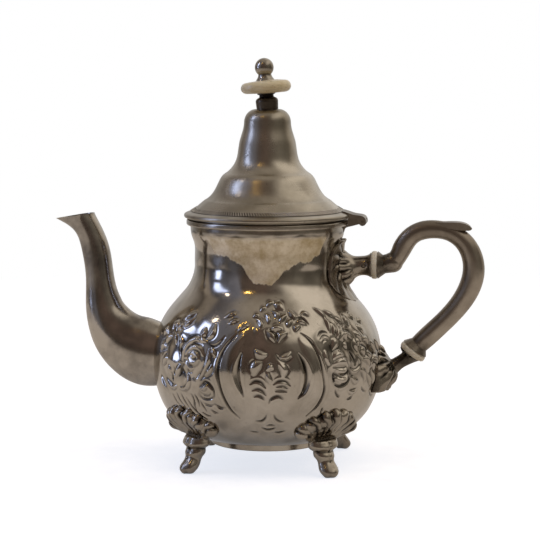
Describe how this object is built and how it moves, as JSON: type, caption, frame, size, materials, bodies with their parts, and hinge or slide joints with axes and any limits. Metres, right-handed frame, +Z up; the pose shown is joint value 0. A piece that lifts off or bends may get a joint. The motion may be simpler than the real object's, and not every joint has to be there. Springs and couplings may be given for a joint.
{
  "type": "footed silver teapot",
  "caption": "Pear-shaped silver teapot on four scalloped feet, with a chased belly, beaked spout, hinged tiered lid with a loose disc finial, and a pinned side handle.",
  "frame": {"origin": "on the vessel's vertical axis, at the level of the table that the feet stand on", "axes": "+Z up, +X towards the handle (the spout points along -X), +Y to the far side when the spout is on the left"},
  "size_m": [0.2359, 0.1252, 0.221],
  "materials": {
    "silver": "silver-plated sheet metal, polished, lightly tarnished",
    "cast_silver": "silver-plated casting, worn, dark in the recesses",
    "pin_metal": "dull plated wire and hardware",
    "bone": "polished bone, cream"
  },
  "bodies": {
    "pot": {"body_shell": "silver", "base_plate": "silver", "mouth_collar": "silver", "spout": "silver", "strainer": "silver", "upper_bracket": "cast_silver", "lower_bracket": "cast_silver", "upper_insulator": "bone", "lower_insulator": "bone", "handle": "cast_silver", "thumb_rest": "cast_silver", "upper_socket_pin": "pin_metal", "upper_handle_pin": "pin_metal", "lower_handle_pin": "pin_metal", "hinge_bracket": "cast_silver", "foot_front_left": "cast_silver", "foot_front_right": "cast_silver", "foot_back_left": "cast_silver", "foot_back_right": "cast_silver"},
    "lid": {"lid_dome": "silver", "lid_bezel": "silver", "lid_leaf": "cast_silver", "hinge_pin": "pin_metal", "finial_base": "cast_silver", "finial_stud": "pin_metal", "finial_nut": "pin_metal", "finial_ball": "cast_silver"},
    "disc": {"finial_disc": "bone"}
  },
  "joints": [
    {"name": "lid_hinge", "type": "hinge", "parent": "pot", "child": "lid", "pos_m": [0.0523, 0, 0.1331], "axis": [0, 1, 0], "range_deg": [0, 105]},
    {"name": "disc_spin", "type": "hinge", "parent": "lid", "child": "disc", "pos_m": [-0.00093, 0, 0.20526], "axis": [-0.0785, 0, 0.9969], "continuous": true}
  ]
}
